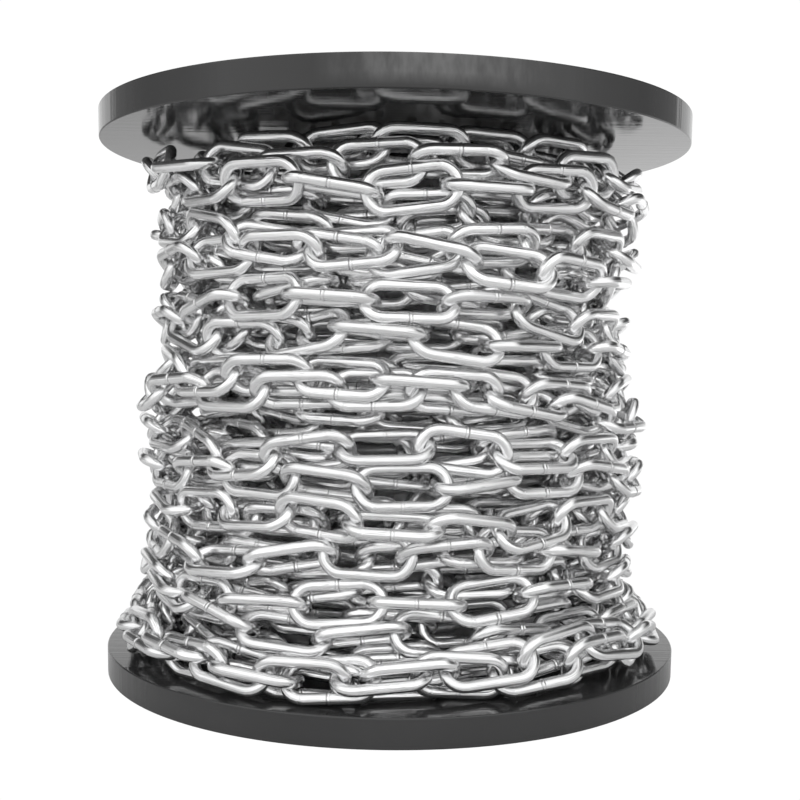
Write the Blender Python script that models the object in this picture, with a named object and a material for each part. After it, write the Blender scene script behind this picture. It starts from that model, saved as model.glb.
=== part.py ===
# A reel of long link steel chain, standing upright on its lower flange.
# Units are metres. +Z is the reel's axis, and the origin is the centre of the base.
import math
import random

import bmesh
import bpy

# The reel: two moulded flanges and a tube between them
flange_diameter = 0.225
flange_thickness = 0.0105
flange_edge = 0.0006
reel_height = 0.212
spindle_hole_diameter = 0.035
barrel_diameter = 0.080
barrel_wall = 0.0037
spigot_length = 0.0035
spigot_wall = 0.004

# The outer face of each flange: shallow pockets between a rim, a hub and straight ribs
rim_width = 0.008
hub_width = 0.011
pocket_depth = 0.0035
rib_count = 12
rib_width = 0.003

# The chain: round wire bent into long links with round ends
wire_diameter = 0.004
link_pitch = 0.026
link_length = link_pitch + 2 * wire_diameter
link_width = 0.017
link_roll = math.radians(45)

# The winding: its outer turns, and the plain core of the turns beneath them
outer_turns = 16
links_per_turn = 22
winding_foot_radius = 0.1006
winding_top_radius = 0.0906
winding_top_gap = 0.003
foot_turns = 2
foot_turns_stand = 0.0072
shoulder_drop = 0.002
shoulder_start = 0.90
core_radius = 0.069
layer_gap = 0.0012
valley_extra = 0.0015
turn_wander = 0.0032
turn_swell = 0.0018
link_scatter = 0.0012

clearance = 0.0003
round_steps = 60
wind_seed = 7

flange_radius = flange_diameter / 2
hole_radius = spindle_hole_diameter / 2
barrel_radius = barrel_diameter / 2
barrel_bore_radius = barrel_radius - barrel_wall
lower_face = flange_thickness + clearance
upper_face = reel_height - flange_thickness - clearance
winding_top = upper_face - winding_top_gap


def clear_scene():
    for thing in list(bpy.data.objects):
        bpy.data.objects.remove(thing, do_unlink=True)


def make_material(name, colour, roughness, metallic):
    material = bpy.data.materials.new(name)
    material.use_nodes = True
    shader = material.node_tree.nodes["Principled BSDF"]
    shader.inputs["Base Color"].default_value = (*colour, 1.0)
    shader.inputs["Roughness"].default_value = roughness
    shader.inputs["Metallic"].default_value = metallic
    return material


def add_object(name, bm, material=None):
    # Faces point outwards, and only the sharp edges stay sharp in the shading.
    bmesh.ops.recalc_face_normals(bm, faces=bm.faces)
    mesh = bpy.data.meshes.new(name)
    bm.to_mesh(mesh)
    bm.free()
    mesh.shade_smooth()
    mesh.set_sharp_from_angle(angle=math.radians(35))
    thing = bpy.data.objects.new(name, mesh)
    bpy.context.collection.objects.link(thing)
    if material:
        mesh.materials.append(material)
    return thing


def ring_points(radius, height, angles):
    return [(radius * math.cos(a), radius * math.sin(a), height) for a in angles]


def closed_ring_body(rings):
    # Joins each ring of points to the next and the last to the first, as a ring shaped body.
    bm = bmesh.new()
    loops = [[bm.verts.new(point) for point in ring] for ring in rings]
    count = len(loops[0])
    for index, loop in enumerate(loops):
        following = loops[(index + 1) % len(loops)]
        for here in range(count):
            there = (here + 1) % count
            bm.faces.new((loop[here], loop[there], following[there], following[here]))
    return bm


def turned_body(profile):
    # Turns a closed outline of (radius, height) points about the Z axis.
    angles = [2 * math.pi * step / round_steps for step in range(round_steps)]
    return closed_ring_body([ring_points(radius, height, angles) for radius, height in profile])


def flange_profile():
    # One half section, with the outer face at height 0 and the spigot on the inner face.
    spigot_outer = barrel_bore_radius - clearance
    spigot_inner = spigot_outer - spigot_wall
    spigot_end = flange_thickness + spigot_length
    return [
        (hole_radius, 0),
        (flange_radius - flange_edge, 0),
        (flange_radius, flange_edge),
        (flange_radius, flange_thickness - flange_edge),
        (flange_radius - flange_edge, flange_thickness),
        (spigot_outer, flange_thickness),
        (spigot_outer, spigot_end),
        (spigot_inner, spigot_end),
        (spigot_inner, flange_thickness),
        (hole_radius, flange_thickness),
    ]


def pocket_outline(middle_angle):
    # A sector between two ribs, whose sides run parallel to the ribs.
    inner = hole_radius + hub_width
    outer = flange_radius - rim_width
    half_sector = math.pi / rib_count
    points = []
    for radius, steps, way in ((inner, 3, 1), (outer, 6, -1)):
        reach = half_sector - math.asin(rib_width / 2 / radius)
        for step in range(steps):
            turn = way * reach * (2 * step / (steps - 1) - 1)
            points.append((radius * math.cos(middle_angle + turn), radius * math.sin(middle_angle + turn)))
    return points


def pocket_cutter(name):
    bm = bmesh.new()
    for rib in range(rib_count):
        outline = pocket_outline(2 * math.pi * (rib + 0.5) / rib_count)
        face = bm.faces.new([bm.verts.new((x, y, -flange_thickness)) for x, y in outline])
        raised = bmesh.ops.extrude_face_region(bm, geom=[face])
        corners = [item for item in raised["geom"] if isinstance(item, bmesh.types.BMVert)]
        for corner in corners:
            corner.co.z = pocket_depth
    cutter = add_object(name, bm)
    cutter.hide_render = True
    cutter.display_type = "WIRE"
    return cutter


def make_flange(name, height, turned_over):
    plastic = make_material(name + "_plastic", (0.013, 0.013, 0.014), 0.12, 0.0)
    flange = add_object(name, turned_body(flange_profile()), plastic)
    cutter = pocket_cutter(name + "_pockets")
    cutter.parent = flange
    cut = flange.modifiers.new("pockets", "BOOLEAN")
    cut.operation = "DIFFERENCE"
    cut.solver = "EXACT"
    cut.object = cutter
    flange.location.z = height
    flange.rotation_euler.x = math.pi if turned_over else 0
    return flange


def make_barrel():
    plastic = make_material("barrel_plastic", (0.013, 0.013, 0.014), 0.2, 0.0)
    profile = [
        (barrel_bore_radius, lower_face),
        (barrel_radius, lower_face),
        (barrel_radius, upper_face),
        (barrel_bore_radius, upper_face),
    ]
    return add_object("barrel", turned_body(profile), plastic)


def make_chain_core():
    # The turns that the outer ones hide, as one plain body round the barrel.
    steel = make_material("chain_core_steel", (0.45, 0.46, 0.47), 0.35, 1.0)
    profile = [
        (barrel_radius + clearance, lower_face),
        (core_radius, lower_face),
        (core_radius, winding_top),
        (barrel_radius + clearance, winding_top),
    ]
    return add_object("chain_core", turned_body(profile), steel)


def winding_radius(share):
    # The winding leans in from foot to top and is rounded off below the upper flange. The
    # last turns of chain went round its foot once more, so they stand out nearly to the rim.
    lean = winding_foot_radius + (winding_top_radius - winding_foot_radius) * share
    stand = foot_turns_stand if share * outer_turns < foot_turns else 0.0
    shoulder = max(0.0, (share - shoulder_start) / (1 - shoulder_start))
    return lean + stand - shoulder_drop * shoulder ** 2


def turn_row(turn, height, depths, shift, stands):
    # One ring of points at a height within a turn, with a point at both ends of each link's
    # straight stretch. depths says how far even and odd links are sunk there.
    link_angle = 2 * math.pi / links_per_turn
    side_half_angle = link_angle * (link_length - link_width) / 2 / link_pitch
    share = (turn + height) / outer_turns
    foot_row = turn == 0 and height == 0
    calm = 0 if foot_row else min(1.0, turn / 2, (outer_turns - 1 - turn) / 2)
    points = []
    for link in range(links_per_turn):
        for end in (-1, 1):
            angle = link * link_angle + end * side_half_angle + shift
            radius = winding_radius(share) + stands[link] - depths[link % 2]
            radius += turn_swell * math.sin(2 * angle + 0.9 * turn)
            z = lower_face + share * (winding_top - lower_face)
            z += calm * turn_wander * math.sin(3 * angle + 0.55 * turn)
            points.append((radius * math.cos(angle), radius * math.sin(angle), z))
    return points


def outer_turn_rings():
    # Each turn is a row of links, rolled by turns to either side, so that one long side of
    # each link stands out: the lower one on even links and the upper one on odd links.
    # The links' other sides are sunken, and a valley parts each turn from the one below.
    scatter = random.Random(wind_seed)
    sunken = (link_width - wire_diameter) * math.sin(link_roll)
    valley = sunken + wire_diameter / 2 + valley_extra
    lower_side = (0, sunken)
    upper_side = (sunken, 0)
    rows = (
        (0.0, (valley, valley)),
        (0.19, lower_side),
        (0.40, lower_side),
        (0.60, upper_side),
        (0.81, upper_side),
    )
    rings = []
    for turn in range(outer_turns):
        shift = scatter.uniform(-0.25, 0.25) * 2 * math.pi / links_per_turn
        stands = [scatter.uniform(-link_scatter, link_scatter) for link in range(links_per_turn)]
        rings += [turn_row(turn, height, depths, shift, stands) for height, depths in rows]
    return rings


def make_outer_turns():
    steel = make_material("chain_outer_turns_steel", (0.83, 0.84, 0.85), 0.22, 1.0)
    rings = outer_turn_rings()
    angles = [math.atan2(y, x) for x, y, z in rings[0]]
    inner_radius = core_radius + layer_gap
    rings.append(ring_points(winding_radius(1.0) - link_width / 2, winding_top, angles))
    rings.append(ring_points(inner_radius, winding_top, angles))
    rings.append(ring_points(inner_radius, lower_face, angles))
    return add_object("chain_outer_turns", closed_ring_body(rings), steel)


clear_scene()
make_flange("bottom_flange", 0.0, False)
make_flange("top_flange", reel_height, True)
make_barrel()
make_chain_core()
make_outer_turns()
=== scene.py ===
# Looks of a reel of long link steel chain: glossy black flanges and a winding of bright zinc links.
import math
import bpy
import numpy as np
from mathutils import Matrix, Vector


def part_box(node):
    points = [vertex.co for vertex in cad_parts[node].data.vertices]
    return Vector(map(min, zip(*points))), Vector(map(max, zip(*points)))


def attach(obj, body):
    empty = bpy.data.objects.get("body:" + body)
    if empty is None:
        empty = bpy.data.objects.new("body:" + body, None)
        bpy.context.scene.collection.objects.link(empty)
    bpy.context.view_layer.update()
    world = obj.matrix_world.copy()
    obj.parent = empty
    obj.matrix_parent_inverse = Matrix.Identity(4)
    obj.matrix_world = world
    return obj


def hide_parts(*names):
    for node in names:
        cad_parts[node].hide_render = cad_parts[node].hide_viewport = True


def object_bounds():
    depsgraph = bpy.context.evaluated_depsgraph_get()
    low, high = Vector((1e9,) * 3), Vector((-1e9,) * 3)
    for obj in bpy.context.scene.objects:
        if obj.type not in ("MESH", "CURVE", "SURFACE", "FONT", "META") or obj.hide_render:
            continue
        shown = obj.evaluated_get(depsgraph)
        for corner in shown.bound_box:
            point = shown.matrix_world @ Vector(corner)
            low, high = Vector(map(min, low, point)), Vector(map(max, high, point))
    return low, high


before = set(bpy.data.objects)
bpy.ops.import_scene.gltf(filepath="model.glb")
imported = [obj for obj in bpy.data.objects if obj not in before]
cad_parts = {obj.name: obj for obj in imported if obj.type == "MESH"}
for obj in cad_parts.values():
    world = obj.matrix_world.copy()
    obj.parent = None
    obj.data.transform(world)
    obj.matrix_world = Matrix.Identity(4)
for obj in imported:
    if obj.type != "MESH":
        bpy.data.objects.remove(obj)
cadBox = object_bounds()
mm = 0.001


# small tools shared by every piece

def makeMesh(name, points, quads):
    # quick mesh from arrays: points (n, 3) and quads (m, 4)
    mesh = bpy.data.meshes.new(name)
    mesh.vertices.add(len(points))
    mesh.vertices.foreach_set("co", np.asarray(points, np.float32).ravel())
    mesh.loops.add(quads.size)
    mesh.loops.foreach_set("vertex_index", np.asarray(quads, np.int32).ravel())
    mesh.polygons.add(len(quads))
    mesh.polygons.foreach_set("loop_start", np.arange(0, quads.size, 4, dtype=np.int32))
    mesh.polygons.foreach_set("use_smooth", np.ones(len(quads), bool))
    mesh.update(calc_edges=True)
    piece = bpy.data.objects.new(name, mesh)
    bpy.context.scene.collection.objects.link(piece)
    return piece


def gridQuads(rows, columns, closeRows=False):
    # quads between neighbouring points of a grid, whose points run row by row in closed rings
    lastRow = rows if closeRows else rows - 1
    row, column = np.meshgrid(np.arange(lastRow), np.arange(columns), indexing="ij")
    nextRow = (row + 1) % rows
    nextColumn = (column + 1) % columns
    corners = [row * columns + column, row * columns + nextColumn,
               nextRow * columns + nextColumn, nextRow * columns + column]
    return np.stack(corners, -1).reshape(-1, 4)


def addNumbers(piece, name, values, kind="FLOAT"):
    # a value or vector at each point that the materials read
    field = "vector" if kind == "FLOAT_VECTOR" else "value"
    attribute = piece.data.attributes.new(name, kind, "POINT")
    attribute.data.foreach_set(field, np.asarray(values, np.float32).ravel())


class Value:
    # a shader socket that takes part in Python sums
    def __init__(self, finish, socket):
        self.finish = finish
        self.socket = socket

    def maths(self, operation, first, second):
        return self.finish.maths(operation, first, second)

    def __add__(self, other):
        return self.maths("ADD", self, other)

    def __radd__(self, other):
        return self.maths("ADD", other, self)

    def __sub__(self, other):
        return self.maths("SUBTRACT", self, other)

    def __rsub__(self, other):
        return self.maths("SUBTRACT", other, self)

    def __mul__(self, other):
        return self.maths("MULTIPLY", self, other)

    def __rmul__(self, other):
        return self.maths("MULTIPLY", other, self)

    def __truediv__(self, other):
        return self.maths("DIVIDE", self, other)

    def __pow__(self, other):
        return self.maths("POWER", self, other)


socketNames = {
    "colour": "Base Color", "roughness": "Roughness", "metallic": "Metallic", "normal": "Normal",
    "specular": "Specular IOR Level", "glow": "Emission Color", "glowStrength": "Emission Strength",
}


class Finish:
    # one material, or the world's light, built node by node
    def __init__(self, name, world=None):
        if world:
            self.tree = world.node_tree
        else:
            self.material = bpy.data.materials.new(name)
            self.material.use_nodes = True
            self.tree = self.material.node_tree
            self.shader = self.tree.nodes["Principled BSDF"]

    def node(self, kind, settings=None, sockets=None, output=0):
        made = self.tree.nodes.new(kind)
        for key, value in (settings or {}).items():
            if key == "stops":
                self.setStops(made.color_ramp, value)
            else:
                setattr(made, key, value)
        for key, value in (sockets or {}).items():
            self.feed(made.inputs[key], value)
        return Value(self, made.outputs[output])

    def maths(self, operation, first, second=0.0):
        return self.node("ShaderNodeMath", {"operation": operation}, {0: first, 1: second})

    def setStops(self, ramp, stops):
        while len(ramp.elements) > 1:
            ramp.elements.remove(ramp.elements[0])
        for index, (place, shade) in enumerate(stops):
            stop = ramp.elements[0] if index == 0 else ramp.elements.new(place)
            stop.position = place
            stop.color = (shade, shade, shade, 1)

    def feed(self, socket, value):
        if isinstance(value, Value):
            self.tree.links.new(value.socket, socket)
        elif isinstance(value, tuple) and len(value) == 3 and socket.type == "RGBA":
            socket.default_value = (*value, 1)
        else:
            socket.default_value = value

    def set(self, **sockets):
        for key, value in sockets.items():
            self.feed(self.shader.inputs[socketNames[key]], value)

    def noise(self, place, scale, detail=2.0, roughness=0.5):
        sockets = {"Vector": place, "Scale": scale, "Detail": detail, "Roughness": roughness}
        return self.node("ShaderNodeTexNoise", None, sockets)

    def stretched(self, place, scale):
        return self.node("ShaderNodeMapping", None, {"Vector": place, "Scale": scale})

    def parts(self, place):
        # the X, Y and Z of a place or direction
        return [self.node("ShaderNodeSeparateXYZ", None, {0: place}, axis) for axis in "XYZ"]

    def between(self, value, low, high, first=0.0, last=1.0):
        # maps low..high on to first..last, held at both ends
        sockets = {"Value": value, 1: low, 2: high, 3: first, 4: last}
        return self.node("ShaderNodeMapRange", {"clamp": True}, sockets)

    def band(self, value, rise, fall):
        # climbs from 0 to 1 over rise and drops back to 0 over fall
        return self.between(value, *rise) * self.between(value, *fall, 1.0, 0.0)

    def mixed(self, mask, first, second):
        settings = {"data_type": "RGBA"}
        return self.node("ShaderNodeMix", settings, {0: mask, 6: first, 7: second}, 2)

    def bump(self, height, strength, distance, under=None):
        sockets = {"Height": height, "Strength": strength, "Distance": distance}
        if under:
            sockets["Normal"] = under
        return self.node("ShaderNodeBump", None, sockets)


# camera, fitted to both flanges' outlines in the photograph; its turns are in radians

view = {
    "focalLength": 51.34, "sensor": 36, "nearest": 0.01,
    "distance": 458.7 * mm, "height": 125.4 * mm,
    "pitch": 0.1144, "yaw": 0.0071, "roll": 0.0118, "shift": 0.1,
}


def makeCamera():
    camera = bpy.data.cameras.new("camera")
    camera.lens = view["focalLength"]
    camera.sensor_width = view["sensor"]
    camera.shift_y = view["shift"]
    camera.clip_start = view["nearest"]
    seen = bpy.data.objects.new("camera", camera)
    bpy.context.scene.collection.objects.link(seen)
    pitch, yaw, roll = view["pitch"], view["yaw"], view["roll"]
    forward = Vector((math.sin(yaw) * math.cos(pitch), math.cos(yaw) * math.cos(pitch), -math.sin(pitch)))
    right = Vector((math.cos(yaw), -math.sin(yaw), 0))
    up = right.cross(forward)
    rolledRight = right * math.cos(roll) + up * math.sin(roll)
    rolledUp = -right * math.sin(roll) + up * math.cos(roll)
    turn = Matrix((rolledRight, rolledUp, -forward)).transposed().to_4x4()
    seen.matrix_world = Matrix.Translation((0, -view["distance"], view["height"])) @ turn
    bpy.context.scene.camera = seen


makeCamera()
print("camera placed")


# the chain, wound link by link and settled; its angles are in degrees

chain = {
    # one link: its wire, the step from link to link and the width over both long sides
    "wire": 4.0 * mm, "pitch": 26.0 * mm, "width": 17.0 * mm,
    # the room for the winding: from flange to flange, and from the hidden turns to the rim
    "foot": 10.8 * mm, "top": 200.0 * mm,
    "coreFoot": 65.5 * mm, "coreTop": 55.5 * mm, "reach": 112.2 * mm,
    # the path: its climb in a turn, its step out in a pass, and how far its joints keep from the ends
    "turnStep": 12.0 * mm, "layerStep": 10.5 * mm, "margin": 6 * mm, "edge": 3 * mm,
    # the last pass, which only goes round the foot
    "footTurns": 2.3, "footRise": 5.0 * mm, "footLift": 8.0 * mm, "footShift": 3.5 * mm, "endAngle": 95,
    # how the path strays up and down, quickly and slowly, and in and out
    "wanderHeight": 3.5 * mm, "wanderLength": 330 * mm,
    "driftHeight": 4.0 * mm, "driftLength": 1100 * mm,
    "wanderDepth": 3.0 * mm, "depthLength": 230 * mm,
    # how the links are rolled about their length, by turns to either side
    "roll": 45, "rollScatter": 10, "rollDrift": 20, "rollLength": 420 * mm,
    "seed": 11,
}

# how the wound chain settles, in rounds of small moves of its joints and turns of its links

settling = {
    "rounds": 300, "report": 40,
    "outline": 36,  # points round one link's centre line
    "search": 1.5, "searchEvery": 4,  # how far pairs of points are looked for, in wires, and how often
    "lever": 4.3 * mm,  # how far from its long axis a link's wire lies, for its ease of rolling
    "outward": 0.35,  # how much more a later turn is pushed outwards
    "push": 1.6, "turn": 1.2, "mostTurn": 0.15,
    "pull": 0.12 * mm, "leastPull": -0.25, "mostPull": 1.5, "slack": 1.1, "slackLength": 260 * mm,
    "evening": 0.012, "sweeps": 3, "mostBend": 12,
    "leastCross": 62, "crossing": 0.3,
}


def linkShape():
    # half a link's straight side and the radius of its round ends, along the middle of the wire
    half = chain["pitch"] / 2 + chain["wire"] - chain["width"] / 2
    bend = (chain["width"] - chain["wire"]) / 2
    return half, bend


def linkOutline(spots):
    # places along one link's centre line: u lengthwise and v crosswise, from spots in 0..1
    half, bend = linkShape()
    straight, arc = 2 * half, math.pi * bend
    around = np.asarray(spots) * 2 * (straight + arc)
    side = around >= straight + arc
    place = np.where(side, around - straight - arc, around)
    angle = np.maximum(0, place - straight) / bend
    u = np.minimum(place, straight) - half + bend * np.sin(angle)
    v = bend * np.cos(angle)
    return np.where(side, -u, u), np.where(side, -v, v), around


def coreRadius(height):
    # the hidden turns lean in from foot to top
    share = (height - chain["foot"]) / (chain["top"] - chain["foot"])
    return chain["coreFoot"] + (chain["coreTop"] - chain["coreFoot"]) * share


def smoothWander(draw, along, length):
    # three waves of unlike lengths, each started anywhere, about 1 high together
    total = np.zeros_like(along)
    for pace in (1.0, 1.73, 2.61):
        total += np.sin(2 * math.pi * (pace * along / length + draw.uniform())) / math.sqrt(pace)
    return total / 1.6


def windingPath(draw):
    # joints of the chain: down, up and down again, then a few turns more round the foot
    low, high = chain["foot"] + chain["margin"], chain["top"] - chain["margin"]
    passes = [(high, low), (low, high), (high, low), (low, low + chain["footRise"])]
    footPass = len(passes) - 1
    rows, layers = [], []
    angle = 0.0
    for layer, (start, end) in enumerate(passes):
        lift = layer * chain["layerStep"]
        turns = abs(end - start) / chain["turnStep"]
        if layer == footPass:
            lift -= chain["layerStep"] - chain["footLift"]
            turns = chain["footTurns"]
        done = 0.0
        while done < turns:
            height = start + (end - start) * done / turns
            radius = coreRadius(height) + chain["width"] / 2 + lift
            rows.append((angle, height, radius))
            layers.append(layer)
            step = 2 * math.asin(chain["pitch"] / 2 / radius)
            angle += step
            done += step / 2 / math.pi
    # columns of the path: angle, height and radius
    path = np.array(rows)
    path[:, 0] += math.radians(chain["endAngle"]) - path[-1, 0]
    along = np.arange(len(path)) * chain["pitch"]
    path[:, 1] += chain["wanderHeight"] * smoothWander(draw, along, chain["wanderLength"])
    path[:, 1] += chain["driftHeight"] * smoothWander(draw, along, chain["driftLength"])
    path[:, 1] = np.clip(path[:, 1], chain["foot"] + chain["edge"], chain["top"] - chain["edge"])
    path[:, 2] += chain["wanderDepth"] * smoothWander(draw, along, chain["depthLength"])
    path[:, 2] -= chain["footShift"] * np.cos(path[:, 0]) * (np.array(layers) == footPass)
    joints = np.stack([path[:, 2] * np.cos(path[:, 0]), path[:, 2] * np.sin(path[:, 0]), path[:, 1]], 1)
    return joints, np.array(layers[:-1])


def linkFrames(joints, roll):
    # middle, lengthwise, crosswise, facing and outward directions of each link between two joints
    lengthwise = joints[1:] - joints[:-1]
    lengthwise = lengthwise / np.linalg.norm(lengthwise, axis=1)[:, None]
    middle = (joints[1:] + joints[:-1]) / 2
    outward = middle * (1, 1, 0)
    outward -= lengthwise * (outward * lengthwise).sum(1)[:, None]
    outward /= np.linalg.norm(outward, axis=1)[:, None]
    upward = np.cross(lengthwise, outward)
    cosine, sine = np.cos(roll)[:, None], np.sin(roll)[:, None]
    return middle, lengthwise, cosine * upward + sine * outward, cosine * outward - sine * upward, outward


def nearPairs(points, owner, reach):
    # pairs of points of unconnected links that are closer than reach, by sorting into cells
    cells = np.floor((points - points.min(0)) / reach).astype(np.int64) + 1
    size = cells.max(0) + 2
    key = cells[:, 0] + size[0] * (cells[:, 1] + size[1] * cells[:, 2])
    order = np.argsort(key, kind="stable")
    sortedKey = key[order]
    found = []
    # a point's own row of cells, then the rows above and behind it, so that each pair comes up once
    for up, back in ((0, 0), (0, 1), (1, -1), (1, 0), (1, 1)):
        base = key + size[0] * (back + size[1] * up)
        own = up == 0 and back == 0
        start = np.searchsorted(sortedKey, base if own else base - 1, "left")
        count = np.searchsorted(sortedKey, base + 1, "right") - start
        one = np.repeat(np.arange(len(points)), count)
        offset = np.arange(len(one)) - np.repeat(np.cumsum(count) - count, count)
        other = order[np.repeat(start, count) + offset]
        keep = np.abs(owner[one] - owner[other]) > 1
        if own:
            keep &= (key[one] != key[other]) | (one < other)
        one, other = one[keep], other[keep]
        keep = ((points[one] - points[other]) ** 2).sum(1) < reach * reach
        found.append((one[keep], other[keep]))
    return np.concatenate([pair[0] for pair in found]), np.concatenate([pair[1] for pair in found])


def wallShortfall(points):
    # how far each point has to move to clear the hidden turns, the rim's reach and both flanges
    wire = chain["wire"]
    radius = np.hypot(points[:, 0], points[:, 1])
    fix = np.zeros_like(points)
    short = np.maximum(0, coreRadius(points[:, 2]) + wire / 2 - radius)
    over = np.maximum(0, radius + wire / 2 - chain["reach"])
    fix[:, :2] = points[:, :2] * ((short - over) / radius)[:, None]
    fix[:, 2] = np.maximum(0, chain["foot"] + wire / 2 - points[:, 2])
    fix[:, 2] -= np.maximum(0, points[:, 2] - chain["top"] + wire / 2)
    return fix


def keepLengths(joints):
    # every link keeps its length, and no two links fold up at their joint
    for sweep in range(settling["sweeps"]):
        for parity in (0, 1):
            ends = joints[parity + 1::2]
            starts = joints[parity::2][:len(ends)]
            span = ends - starts
            length = np.linalg.norm(span, axis=1)[:, None]
            change = span / length * (length - chain["pitch"]) / 2
            joints[parity::2][:len(ends)] += change
            joints[parity + 1::2] -= change
    leastSpan = 2 * chain["pitch"] * math.cos(math.radians(settling["mostBend"]))
    span = joints[2:] - joints[:-2]
    length = np.linalg.norm(span, axis=1)[:, None]
    change = np.maximum(0, leastSpan - length) / 4 * span / length
    joints[2:] += change
    joints[:-2] -= change


def keepCrossed(roll):
    # links through one another stay crossed
    fold = (roll[1:] - roll[:-1] + math.pi / 2) % math.pi - math.pi / 2
    lack = np.maximum(0, math.radians(settling["leastCross"]) - np.abs(fold))
    turn = lack * np.sign(fold + 1e-9) * settling["crossing"]
    roll[1:] += turn
    roll[:-1] -= turn


def settleChain(joints, roll):
    # pushes crossing wires apart, later turns over earlier ones, while the winding is drawn in
    wire, pitch, rounds, count = chain["wire"], chain["pitch"], settling["rounds"], settling["outline"]
    links = len(roll)
    u, v = linkOutline((np.arange(count) + 0.5) / count)[:2]
    owner = np.repeat(np.arange(links), count)
    u, v = np.tile(u, links), np.tile(v, links)
    weights = (0.5 - u / pitch, 0.5 + u / pitch)
    spin = 0.5 / settling["lever"] ** 2
    # some stretches were wound with less tension than others and stand out a little
    looseDraw = np.random.default_rng(chain["seed"] + 2)
    along = np.arange(links + 1) * pitch
    slack = settling["slack"] * smoothWander(looseDraw, along, settling["slackLength"])
    pull = settling["pull"] * np.clip(1 - slack, settling["leastPull"], settling["mostPull"])[:, None]

    def outlinePoints():
        middle, lengthwise, crosswise, facing, outward = linkFrames(joints, roll)
        points = middle[owner] + u[:, None] * lengthwise[owner] + v[:, None] * crosswise[owner]
        return points, facing, outward

    def spread(values, places):
        # sums up what the points of each link ask of the joints at its two ends
        total = np.zeros_like(joints)
        for axis in range(3):
            for end in (0, 1):
                asked = values[:, axis] * weights[end][places]
                total[:, axis] += np.bincount(owner[places] + end, asked, links + 1)
        return total

    def share(places):
        number = np.bincount(owner[places], None, links + 1)
        number = number + np.bincount(owner[places] + 1, None, links + 1)
        return np.maximum(1, number / 2)[:, None]

    for step in range(rounds):
        left = 1 - step / rounds
        points, facing, outward = outlinePoints()
        if step % settling["searchEvery"] == 0:
            one, other = nearPairs(points, owner, settling["search"] * wire)
        apart = points[one] - points[other]
        distance = np.linalg.norm(apart, axis=1)
        hit = distance < wire
        a, b = one[hit], other[hit]
        distance = np.maximum(distance[hit], 1e-6)
        push = apart[hit] / distance[:, None]
        later = np.sign(owner[a] - owner[b])[:, None]
        push += settling["outward"] * left * later * outward[owner[a]]
        push /= np.linalg.norm(push, axis=1)[:, None]
        leverA = (facing[owner[a]] * push).sum(1) * v[a]
        leverB = (facing[owner[b]] * push).sum(1) * v[b]
        heft = spin * (leverA ** 2 + leverB ** 2)
        for weight in weights:
            heft = heft + weight[a] ** 2 + weight[b] ** 2
        amount = (wire - distance) / heft
        moved = push * amount[:, None]
        moves = spread(moved, a) - spread(moved, b)
        joints = joints + settling["push"] * moves / share(np.concatenate([a, b]))
        turned = np.bincount(owner[a], amount * spin * leverA, links)
        turned = turned - np.bincount(owner[b], amount * spin * leverB, links)
        touches = np.bincount(owner[a], None, links) + np.bincount(owner[b], None, links)
        rolled = settling["turn"] * turned / np.maximum(1, touches / 2)
        roll = roll + np.clip(rolled, -settling["mostTurn"], settling["mostTurn"])

        fix = wallShortfall(outlinePoints()[0])
        wall = np.nonzero(np.abs(fix).sum(1) > 0)[0]
        if len(wall):
            near, far = weights[0][wall], weights[1][wall]
            joints = joints + spread(fix[wall] / (near ** 2 + far ** 2)[:, None], wall) / share(wall)

        # drawn in by the winding's tension, which also evens out how the chain climbs
        flat = joints * (1, 1, 0)
        joints = joints - flat / np.linalg.norm(flat, axis=1)[:, None] * pull * left
        joints[1:-1, 2] += settling["evening"] * ((joints[2:, 2] + joints[:-2, 2]) / 2 - joints[1:-1, 2])
        keepLengths(joints)
        keepCrossed(roll)
        if step % settling["report"] == 0 or step == rounds - 1:
            depth = (wire - distance) / mm
            depths = "deepest %.2f mean %.2f" % (depth.max(), depth.mean())
            print("settling", step, "touching", len(depth), depths)
    return joints, roll


# the weld amid one long side: a low bead between two fine grooves, as millimetres along the side,
# thickness in wires and how dark the grooves are painted, partly the seam's own darkness and partly
# painted shade

weld = {
    "rings": [(-1.4, 1.0, 0), (-0.88, 1.02, 0.1), (-0.70, 0.95, 1), (-0.46, 0.96, 1), (-0.28, 1.09, 0.1),
              (0.0, 1.11, 0), (0.30, 1.07, 0), (0.50, 0.98, 0.4), (0.66, 0.98, 0.4), (0.88, 1.0, 0),
              (1.4, 1.0, 0)],
}


def linkTemplate(sides, bendSteps):
    # one link as rings of points round its centre line
    half, bend = linkShape()
    straight, arc = 2 * half, math.pi * bend
    total = 2 * (straight + arc)
    spots, sizes, marks = [0.0], [1.0], [0.0]
    for place, size, mark in weld["rings"]:
        spots.append((half + place * mm) / total)
        sizes.append(size)
        marks.append(mark)
    for step in range(bendSteps + 1):
        spots.append((straight + arc * step / bendSteps) / total)
    for step in range(bendSteps):
        spots.append((2 * straight + arc + arc * step / bendSteps) / total)
    plain = len(spots) - len(sizes)
    sizes, marks = sizes + [1.0] * plain, marks + [0.0] * plain
    u, v, around = linkOutline(spots)
    nudge = 1e-4
    uBefore, vBefore = linkOutline(np.array(spots) - nudge)[:2]
    uAfter, vAfter = linkOutline(np.array(spots) + nudge)[:2]
    alongU, alongV = uAfter - uBefore, vAfter - vBefore
    length = np.hypot(alongU, alongV)
    alongU, alongV = alongU / length, alongV / length
    turn = 2 * math.pi * np.arange(sides) / sides
    radius = chain["wire"] / 2 * np.array(sizes)[:, None]
    flat = radius * np.cos(turn)
    raised = radius * np.sin(turn)
    points = np.stack([u[:, None] - flat * alongV[:, None],
                       v[:, None] + flat * alongU[:, None], raised], -1)
    place = np.stack([np.broadcast_to(around[:, None], flat.shape), flat, raised], -1)
    quads = gridQuads(len(spots), sides, True)
    return points.reshape(-1, 3), place.reshape(-1, 3), np.repeat(marks, sides), quads


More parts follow.
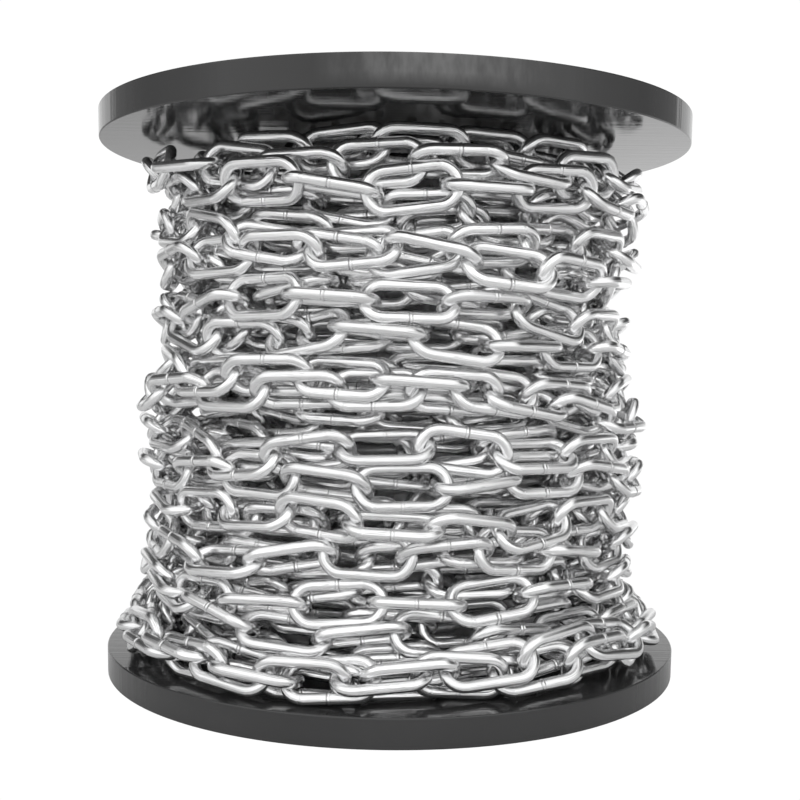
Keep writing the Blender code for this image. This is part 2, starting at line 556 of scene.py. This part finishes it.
def placeLinks(name, chosen, frames, draw, sides, bendSteps):
    # the chosen links as one mesh, with their own place along the wire, the weld's seam darkness and
    # painted shade, and tone
    middle, lengthwise, crosswise, facing = [item[chosen] for item in frames[:4]]
    points, place, marks, quads = linkTemplate(sides, bendSteps)
    # half of the links are turned round, so that their welds face either way
    flips = np.where(draw.random(len(chosen)) < 0.5, -1.0, 1.0)[:, None]
    axes = np.stack([lengthwise * flips, crosswise * flips, facing], 1)
    world = np.einsum("pk,nkj->npj", points, axes) + middle[:, None, :]
    count = len(chosen)
    linkQuads = quads[None] + np.arange(count)[:, None, None] * len(points)
    piece = makeMesh(name, world.reshape(-1, 3), linkQuads.reshape(-1, 4))
    # each link takes its marks from another stretch of wire
    shift = np.stack([draw.uniform(0, 9, count), np.zeros(count), np.zeros(count)], 1)
    addNumbers(piece, "wirePlace", (place[None] + shift[:, None]).reshape(-1, 3), "FLOAT_VECTOR")
    addNumbers(piece, "weldSeamAndShade", np.tile(marks, count))
    addNumbers(piece, "linkTone", np.repeat(draw.random(count), len(points)))
    return piece


def makeChain():
    draw = np.random.default_rng(chain["seed"])
    joints, layers = windingPath(draw)
    links = len(layers)
    sway = np.where(np.arange(links) % 2 == 0, 1, -1) * chain["roll"]
    along = np.arange(links) * chain["pitch"]
    sway = sway + chain["rollDrift"] * smoothWander(draw, along, chain["rollLength"])
    roll = np.radians(sway + draw.normal(0, chain["rollScatter"], links))
    print("winding", links, "links")
    joints, roll = settleChain(joints, roll)
    frames = linkFrames(joints, roll)
    # the sides of the wire and the steps of each bend, fewer where less of the links shows
    groups = [
        ("chain_inner_links", layers == 0, 8, 6),
        ("chain_middle_links", layers == 1, 10, 10),
        ("chain_outer_links", layers >= 2, 14, 12),
    ]
    pieces = []
    for name, mask, sides, bendSteps in groups:
        chosen = np.nonzero(mask)[0]
        half = len(chosen) // 2
        for part, some in (("upper", chosen[:half]), ("lower", chosen[half:])):
            pieces.append(placeLinks(name + "_" + part, some, frames, draw, sides, bendSteps))
    return pieces


# bright zinc on drawn wire

zinc = {
    "dull": (0.80, 0.802, 0.805), "bright": (0.95, 0.952, 0.955),
    # the weld's colour below is partly the seam's own darkness and partly painted shade
    "scratch": (0.32, 0.32, 0.325), "seamAndShade": (0.25, 0.25, 0.25),
    # how fine the drawn lines, the fine lines and the patches are, along and across the wire
    "drawnGrain": (22, 750, 750), "fineGrain": (45, 1900, 1900), "patchGrain": (70, 160, 160),
    "drawnDepth": 0.27 * mm, "fineDepth": 0.06 * mm, "relief": 0.9,
}


def steelFinish():
    finish = Finish("bright_zinc_steel")
    place = finish.node("ShaderNodeAttribute", {"attribute_name": "wirePlace"}, None, "Vector")
    seamAndShade = finish.node("ShaderNodeAttribute", {"attribute_name": "weldSeamAndShade"}, None, "Fac")
    tone = finish.node("ShaderNodeAttribute", {"attribute_name": "linkTone"}, None, "Fac")
    drawn = finish.noise(finish.stretched(place, zinc["drawnGrain"]), 1.0, 3.0, 0.6)
    fine = finish.noise(finish.stretched(place, zinc["fineGrain"]), 1.0, 1.0)
    patches = finish.noise(finish.stretched(place, zinc["patchGrain"]), 1.0, 2.0)
    shade = finish.between(patches * 0.40 + tone * 0.35 + drawn * 0.25, 0.3, 0.7)
    colour = finish.mixed(shade, zinc["dull"], zinc["bright"])
    # scratches follow the middle of the drawn lines, within some of the patches
    scratch = finish.between(finish.maths("ABSOLUTE", drawn - 0.5), 0.0, 0.02, 0.6, 0.0)
    scratch = scratch * finish.between(patches, 0.35, 0.6)
    colour = finish.mixed(scratch, colour, zinc["scratch"])
    # the weld's grooves are darkened: partly the seam's own darkness, partly painted shade
    colour = finish.mixed(seamAndShade * (0.1 + 0.6 * tone), colour, zinc["seamAndShade"])
    roughness = 0.10 + 0.14 * patches + 0.10 * drawn + 0.08 * scratch
    normal = finish.bump(drawn, zinc["relief"], zinc["drawnDepth"])
    normal = finish.bump(fine, zinc["relief"], zinc["fineDepth"], normal)
    finish.set(colour=colour, roughness=roughness, metallic=1.0, normal=normal)
    return finish.material


chainPieces = makeChain()
steel = steelFinish()
for piece in chainPieces:
    piece.data.materials.append(steel)
    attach(piece, "root")
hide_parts("chain_outer_turns")
print("chain made")


# the hidden turns that show between the links: even rows of links, and a plain body behind them

hidden = {
    "depth": 9.0 * mm, "turnStep": 14.0 * mm, "margin": 8 * mm, "roll": 45, "rollScatter": 6,
    "sides": 8, "bendSteps": 5,
    # the body: its depth behind the links, its bore round the barrel and its low ripples
    "bodyDepth": 6 * mm, "bore": 40.3 * mm, "rows": 60, "columns": 180,
    "ripple": 1.0 * mm, "rippleStep": 11 * mm, "ripplesRound": 22,
    "dull": (0.80, 0.80, 0.805), "bright": (0.95, 0.95, 0.955),
}


def makeHiddenLinks():
    draw = np.random.default_rng(chain["seed"] + 1)
    rows, angle, height = [], 0.0, chain["foot"] + hidden["margin"]
    while height < chain["top"] - hidden["margin"]:
        radius = coreRadius(height) - hidden["depth"]
        rows.append((radius * math.cos(angle), radius * math.sin(angle), height))
        step = 2 * math.asin(chain["pitch"] / 2 / radius)
        angle += step
        height += hidden["turnStep"] * step / 2 / math.pi
    joints = np.array(rows)
    links = len(joints) - 1
    sway = np.where(np.arange(links) % 2 == 0, hidden["roll"], -hidden["roll"])
    roll = np.radians(sway + draw.normal(0, hidden["rollScatter"], links))
    frames = linkFrames(joints, roll)
    return placeLinks("chain_hidden_links", np.arange(links), frames, draw,
                      hidden["sides"], hidden["bendSteps"])


def makeHiddenTurns():
    heights = np.linspace(chain["foot"], chain["top"], hidden["rows"])
    angles = 2 * math.pi * np.arange(hidden["columns"]) / hidden["columns"]
    height, angle = np.meshgrid(heights, angles, indexing="ij")
    wave = np.sin(height / hidden["rippleStep"] * 2 * math.pi + 2 * np.sin(2 * angle))
    wave = wave * np.cos(hidden["ripplesRound"] * angle)
    radius = coreRadius(height) - hidden["depth"] - hidden["bodyDepth"] + hidden["ripple"] * wave
    outer = np.stack([radius * np.cos(angle), radius * np.sin(angle), height], -1)
    bore = hidden["bore"]
    inner = np.stack([bore * np.cos(angle), bore * np.sin(angle), height], -1)[[-1, 0]]
    rings = np.concatenate([outer, inner])
    quads = gridQuads(len(rings), hidden["columns"], True)
    return makeMesh("chain_hidden_turns", rings.reshape(-1, 3), quads)


def hiddenFinish():
    # painted light: a half-metallic, rougher copy of the zinc, whose diffuse share lifts the shade in the
    # deep gaps between the links
    finish = Finish("zinc_steel_with_painted_light")
    place = finish.node("ShaderNodeTexCoord", None, None, "Object")
    mottle = finish.noise(place, 160.0, 4.0)
    colour = finish.mixed(finish.between(mottle, 0.35, 0.7), hidden["dull"], hidden["bright"])
    finish.set(colour=colour, roughness=0.25 + 0.25 * mottle, metallic=0.5,
               normal=finish.bump(mottle, 0.6, 1.0 * mm))
    return finish.material


hiddenLinks = makeHiddenLinks()
hiddenTurns = makeHiddenTurns()
paintedLightSteel = hiddenFinish()
for piece in (hiddenLinks, hiddenTurns):
    piece.data.materials.append(paintedLightSteel)
    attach(piece, "root")
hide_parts("chain_core")
print("hidden turns made")


# both flanges of the reel, as one moulding used twice

flange = {
    "thickness": 10.5 * mm, "hole": 17.5 * mm, "hub": 28.5 * mm, "rim": 8.0 * mm,
    "pocket": 3.5 * mm, "ribs": 12, "rib": 3.0 * mm,
    "spigotOut": 36.0 * mm, "spigotIn": 32.0 * mm, "spigot": 3.5 * mm,
    "edge": 0.5 * mm, "edgeSteps": 4,  # the rounding of the rim
    "soften": 0.4 * mm, "lean": 0.1 * mm,  # the softened corners and leaning walls of ribs and pockets
    "pocketRings": 8, "panelSteps": 14, "sharpAngle": 40,
}


def roundedEdge(corner, first, second):
    # a quarter circle from the first direction round the corner into the second
    points = []
    for step in range(flange["edgeSteps"] + 1):
        angle = math.pi / 2 * step / flange["edgeSteps"]
        near, far = flange["edge"] * (1 - math.sin(angle)), flange["edge"] * (1 - math.cos(angle))
        points.append([corner[axis] + first[axis] * near + second[axis] * far for axis in (0, 1)])
    return points


def flangeRings():
    # rings of (radius, height, height in the pockets if the ring crosses them), from the hole's
    # inner mouth over the outer face, round the rim and back along the inner face
    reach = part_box("bottom_flange")[1].x
    hole, hub, outer = flange["hole"], flange["hub"], reach - flange["rim"]
    deep, soft, lean, thick = flange["pocket"], flange["soften"], flange["lean"], flange["thickness"]
    spigotOut, spigotIn, spigotEnd = flange["spigotOut"], flange["spigotIn"], thick + flange["spigot"]
    gaps = flange["pocketRings"] + 1
    rings = [(hole, thick - soft, None), (hole, soft, None), (hole + soft, 0, None), (hub - soft, 0, None)]
    rings += [(hub, 0, soft), (hub + lean, 0, deep - soft), (hub + soft, 0, deep)]
    rings += [(hub + (outer - hub) * step / gaps, 0, deep) for step in range(1, gaps)]
    rings += [(outer - soft, 0, deep), (outer - lean, 0, deep - soft), (outer, 0, soft)]
    rings += [(outer + soft, 0, None)]
    rounding = roundedEdge((reach, 0), (-1, 0), (0, 1)) + roundedEdge((reach, thick), (0, -1), (-1, 0))
    rings += [(radius, height, None) for radius, height in rounding]
    rings += [(reach * 0.8, thick, None), (reach * 0.5, thick, None), (spigotOut, thick, None)]
    rings += [(spigotOut, spigotEnd - soft, None), (spigotOut - soft, spigotEnd, None)]
    rings += [(spigotIn, spigotEnd, None), (spigotIn, thick, None), (hole + soft, thick, None)]
    return rings


def makeFlange(name, turnedOver, height):
    rings = flangeRings()
    half, soft = flange["rib"] / 2, flange["soften"]
    sector = 2 * math.pi / flange["ribs"]
    points = []
    for radius, level, sunk in rings:
        # from the top of a rib down its wall: places beside its middle line, and depths
        edges = [math.asin((half + extra) / radius) for extra in (-soft, 0.0, flange["lean"], soft)]
        depths = [level] * 4
        floor = level
        if sunk is not None:
            depths = [level, min(soft, sunk), sunk - soft if sunk > soft else sunk, sunk]
            floor = sunk
        free = sector - 2 * edges[-1]
        for rib in range(flange["ribs"]):
            base = rib * sector
            row = [(base + edge, depth) for edge, depth in zip(edges, depths)]
            for step in range(1, flange["panelSteps"]):
                row.append((base + edges[-1] + free * step / flange["panelSteps"], floor))
            row += [(base + sector - edge, depth) for edge, depth in zip(edges[::-1], depths[::-1])]
            for angle, z in row:
                points.append((radius * math.cos(angle), radius * math.sin(angle), z))
    points = np.array(points)
    columns = len(points) // len(rings)
    if turnedOver:
        points = points * (1, -1, -1) + (0, 0, height)
    piece = makeMesh(name, points, gridQuads(len(rings), columns, True))
    piece.data.set_sharp_from_angle(angle=math.radians(flange["sharpAngle"]))
    # keeps the wide faces flat up to their softened corners
    shading = piece.modifiers.new("level_faces", "WEIGHTED_NORMAL")
    shading.keep_sharp = True
    return piece


# glossy moulded plastic, with faint flow marks, drawn lines, smears and dust

plastic = {
    "black": (0.036, 0.036, 0.0365), "grey": (0.043, 0.043, 0.0435),
    "smearGrain": (260, 260, 45), "grain": (9, 420, 9), "grainDepth": 0.07 * mm, "flowDepth": 0.6 * mm,
}

# the middle of the upper flange's edge: darkened at its front with painted shade, with a scuffed stretch
# along its top;
# each mark is given by where it rises and where it falls off, in metres

rimShadeAndScuffs = {
    "front": (-0.111, -0.100),
    # painted shade on the middle of the rim's front, and the near-black colour it is painted
    "paintedShade": ((-0.08, -0.05), (0.055, 0.08)), "paintedShadeColour": (0.008, 0.008, 0.008),
    "scuffed": ((-0.025, 0.0), (0.045, 0.052)), "scuffedColour": (0.18, 0.18, 0.18),
    "scuffedHeight": (0.2025, 0.2065), "scuffGrain": (160, 160, 60),
}


def plasticFinish(name, shadedAndScuffed):
    finish = Finish(name)
    place = finish.node("ShaderNodeTexCoord", None, None, "Object")
    flow = finish.noise(place, 14.0, 2.0)
    smears = finish.noise(finish.stretched(place, plastic["smearGrain"]), 1.0, 3.0, 0.6)
    dust = finish.noise(place, 900.0, 2.0)
    smudge = finish.between(smears, 0.46, 0.74)
    colour = finish.mixed(finish.between(flow, 0.35, 0.65), plastic["black"], plastic["grey"])
    # the upper rim gets painted shade across the middle of its front, and real scuffs along its top
    if shadedAndScuffed:
        across, depth, height = finish.parts(place)
        facing = finish.between(depth, *rimShadeAndScuffs["front"], 1.0, 0.0)
        # painted shade: the middle of the rim's front is darkened almost to black
        paintedShade = finish.band(across, *rimShadeAndScuffs["paintedShade"]) * facing
        colour = finish.mixed(paintedShade * 0.8, colour, rimShadeAndScuffs["paintedShadeColour"])
        scuffed = finish.band(across, *rimShadeAndScuffs["scuffed"]) * facing
        scuffed = scuffed * finish.between(height, *rimShadeAndScuffs["scuffedHeight"])
        blotches = finish.noise(finish.stretched(place, rimShadeAndScuffs["scuffGrain"]), 1.0, 3.0, 0.65)
        scuffed = scuffed * finish.between(blotches, 0.36, 0.60, 0.4, 1.0)
        colour = finish.mixed(scuffed * 0.65, colour, rimShadeAndScuffs["scuffedColour"])
    roughness = 0.05 + 0.03 * flow + 0.07 * smudge + 0.02 * dust
    grain = finish.noise(finish.stretched(place, plastic["grain"]), 1.0, 2.0)
    ripple = finish.bump(flow, 0.03, plastic["flowDepth"])
    ripple = finish.bump(grain, 0.8, plastic["grainDepth"], ripple)
    finish.set(colour=colour, roughness=roughness, specular=0.5, normal=ripple)
    return finish.material


lowerFlange = makeFlange("lower_flange", False, 0)
upperFlange = makeFlange("upper_flange", True, cadBox[1].z)
glossyBlack = plasticFinish("glossy_black_plastic", False)
shadedScuffedBlack = plasticFinish("painted_shade_scuffed_black_plastic", True)
flanges = (
    (lowerFlange, "bottom_flange", glossyBlack),
    (upperFlange, "top_flange", shadedScuffedBlack),
)
for piece, node, black in flanges:
    piece.data.materials.append(black)
    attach(piece, "root")
    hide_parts(node)
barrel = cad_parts["barrel"]
barrel.data.materials.clear()
barrel.data.materials.append(glossyBlack)
print("reel made")


# floor, backdrop and world

studio = {
    "table": 420 * mm, "tableColour": (0.82, 0.82, 0.82),
    "backdrop": 13.0, "backdropHeight": 5.0, "backdropGlow": 1.02, "steps": 96,
    "strength": 1.57,
    # brightness around the object, by share of the way from behind it to the camera's side
    "around": [(0.0, 0.62), (0.150, 0.62), (0.156, 0.22), (0.164, 0.22), (0.167, 0.80), (0.180, 0.80),
               (0.185, 0.23), (0.22, 0.23), (0.396, 0.20), (0.58, 0.35), (0.72, 0.60), (0.82, 0.74),
               (0.90, 0.80), (1.0, 0.82)],
    # brightness above, below and to both sides, and of the big light over the camera
    "overhead": 0.62, "belowBehind": 0.57, "belowFront": 0.52, "sides": 0.04, "key": 0.80,
}


def makeSheet(name, rings):
    # a sheet turned about the middle through rings of (radius, height)
    angles = 2 * math.pi * np.arange(studio["steps"]) / studio["steps"]
    points = [(radius * math.cos(angle), radius * math.sin(angle), height)
              for radius, height in rings for angle in angles]
    return makeMesh(name, np.array(points), gridQuads(len(rings), len(angles)))


def makeFloor():
    # the table that lights and reflects in the reel
    radii = (0.5 * mm, 100 * mm, 200 * mm, 300 * mm, studio["table"])
    floor = makeSheet("floor", [(radius, -0.2 * mm) for radius in radii])
    finish = Finish("pale_floor")
    finish.set(colour=studio["tableColour"], roughness=0.9, specular=0.0)
    floor.data.materials.append(finish.material)
    floor.visible_camera = False


def makeBackdrop():
    # plain white all round behind the object, which only the camera sees
    middle, base, reach, top = 0.5 * mm, -0.4 * mm, studio["backdrop"], studio["backdropHeight"]
    backdrop = makeSheet("backdrop", [(middle, base), (reach, base), (reach, top), (middle, top)])
    finish = Finish("white_backdrop")
    finish.set(colour=(0.0, 0.0, 0.0), roughness=1.0, specular=0.0,
               glow=(1.0, 1.0, 1.0), glowStrength=studio["backdropGlow"])
    backdrop.data.materials.append(finish.material)
    for rays in ("diffuse", "glossy", "transmission", "volume_scatter", "shadow"):
        setattr(backdrop, "visible_" + rays, False)


def makeWorld():
    world = bpy.data.worlds.new("studio")
    bpy.context.scene.world = world
    world.use_nodes = True
    finish = Finish("studio", world)
    across, back, height = finish.parts(finish.node("ShaderNodeTexCoord", None, None, "Generated"))
    level = (across * across + back * back + 0.0001) ** 0.5
    front = 0.5 - 0.5 * (back / level)
    # the ring of light round the object, dimmed above to both sides
    tone = finish.node("ShaderNodeValToRGB", {"stops": studio["around"]}, {0: front})
    aside = finish.between(height, 0.25, 0.35)
    aside = aside * finish.between(front - 0.16 * across, 0.45, 0.73, 1.0, 0.0)
    tone = finish.mixed(aside, tone, (studio["sides"],) * 3)
    tone = finish.mixed(finish.between(height, 0.66, 0.94), tone, (studio["overhead"],) * 3)
    key = finish.band(height, (0.24, 0.34), (0.82, 0.97))
    key = key * finish.between(front - 0.12 * across, 0.50, 0.80)
    tone = finish.mixed(key, tone, (studio["key"],) * 3)
    # below the table's edge, brighter towards the right at the back
    below = finish.between(front, 0.45, 0.6, studio["belowBehind"], studio["belowFront"])
    below = below * (1 + 0.8 * across * finish.between(front, 0.2, 0.4, 1.0, 0.0))
    tone = finish.mixed(finish.between(height, -0.02, 0.0, 1.0, 0.0), tone, below)
    background = world.node_tree.nodes["Background"]
    finish.feed(background.inputs["Color"], tone)
    background.inputs["Strength"].default_value = studio["strength"]


makeFloor()
makeBackdrop()
makeWorld()
bpy.context.scene.view_settings.view_transform = "Standard"
print("studio made")
